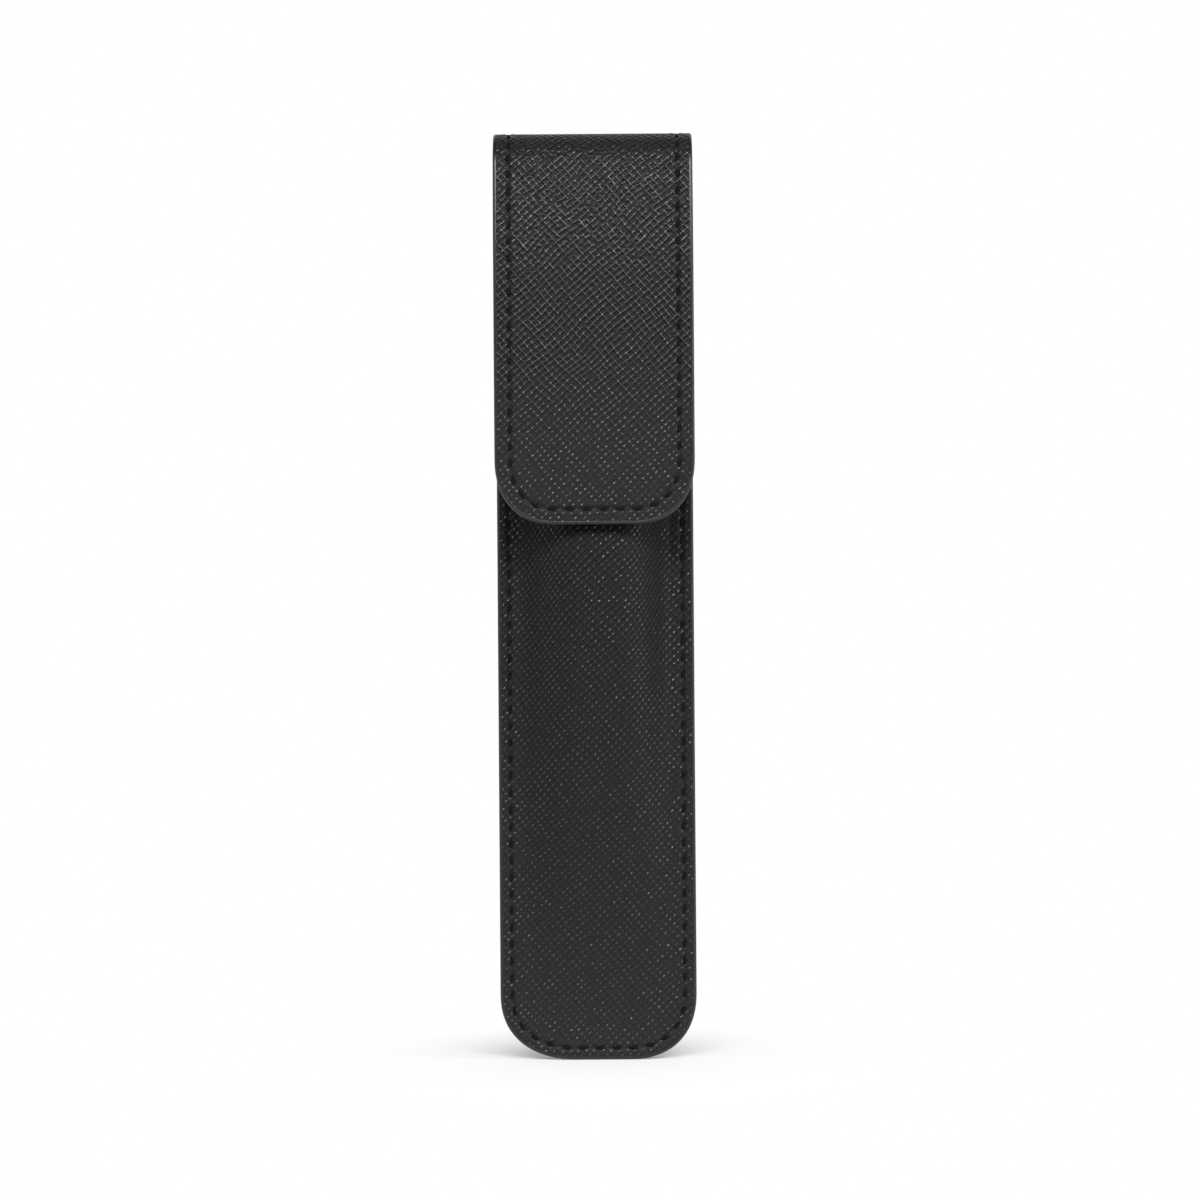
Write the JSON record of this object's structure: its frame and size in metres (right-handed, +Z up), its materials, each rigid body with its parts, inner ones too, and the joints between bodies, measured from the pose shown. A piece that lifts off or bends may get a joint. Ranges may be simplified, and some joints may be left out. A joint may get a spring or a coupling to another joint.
{
  "type": "single pen sleeve",
  "caption": "Upright leather sleeve for one pen, with a moulded front pocket and a flap that folds over the top.",
  "frame": {"origin": "level with the foot, centred across the sleeve's width and its depth", "axes": "+Z up along the sleeve's length, +X across it to the right as seen from the front, the front with the flap faces -Y"},
  "size_m": [0.0352, 0.0162, 0.165],
  "materials": {
    "outer_leather": "satin cross-hatch embossed grain",
    "lining_leather": "smooth matt",
    "board": "raw bonded leather board",
    "edge_paint": "satin edge paint",
    "thread": "twisted sewing thread"
  },
  "bodies": {
    "pocket": {"back_leather": "outer_leather", "back_board": "board", "back_lining": "lining_leather", "front_leather": "outer_leather", "front_lining": "lining_leather", "pocket_edge_paint": "edge_paint", "mouth_edge_paint": "edge_paint", "seam_stitches_front": "thread", "seam_stitches_back": "thread"},
    "fold_back": {"fold_leather_back": "outer_leather", "fold_lining_back": "lining_leather", "fold_edge_paint_back": "edge_paint", "fold_stitches_back": "thread"},
    "fold_top": {"fold_leather_top": "outer_leather", "fold_lining_top": "lining_leather", "fold_edge_paint_top": "edge_paint", "fold_stitches_top": "thread"},
    "fold_front": {"fold_leather_front": "outer_leather", "fold_lining_front": "lining_leather", "fold_edge_paint_front": "edge_paint", "fold_stitches_front": "thread"},
    "flap": {"flap_leather": "outer_leather", "flap_board": "board", "flap_lining": "lining_leather", "flap_edge_paint": "edge_paint", "flap_stitches": "thread"}
  },
  "joints": [
    {"name": "bend_back", "type": "hinge", "parent": "pocket", "child": "fold_back", "pos_m": [0, 0.0081, 0.15783], "axis": [-1, 0, 0], "range_deg": [0, 45]},
    {"name": "bend_top", "type": "hinge", "parent": "fold_back", "child": "fold_top", "pos_m": [0, 0.00487, 0.16382], "axis": [-1, 0, 0], "range_deg": [0, 45]},
    {"name": "bend_front", "type": "hinge", "parent": "fold_top", "child": "fold_front", "pos_m": [0, -0.00191, 0.16441], "axis": [-1, 0, 0], "range_deg": [0, 45]},
    {"name": "flap_lift", "type": "hinge", "parent": "fold_front", "child": "flap", "pos_m": [0, -0.00613, 0.15908], "axis": [-1, 0, 0], "range_deg": [0, 45], "stiffness_Nm_per_rad": 0.05, "springref_deg": -17.19}
  ],
  "couplings": [
    {"joint": "bend_back", "follows": "flap_lift", "ratio": 1},
    {"joint": "bend_top", "follows": "flap_lift", "ratio": 1},
    {"joint": "bend_front", "follows": "flap_lift", "ratio": 1}
  ]
}
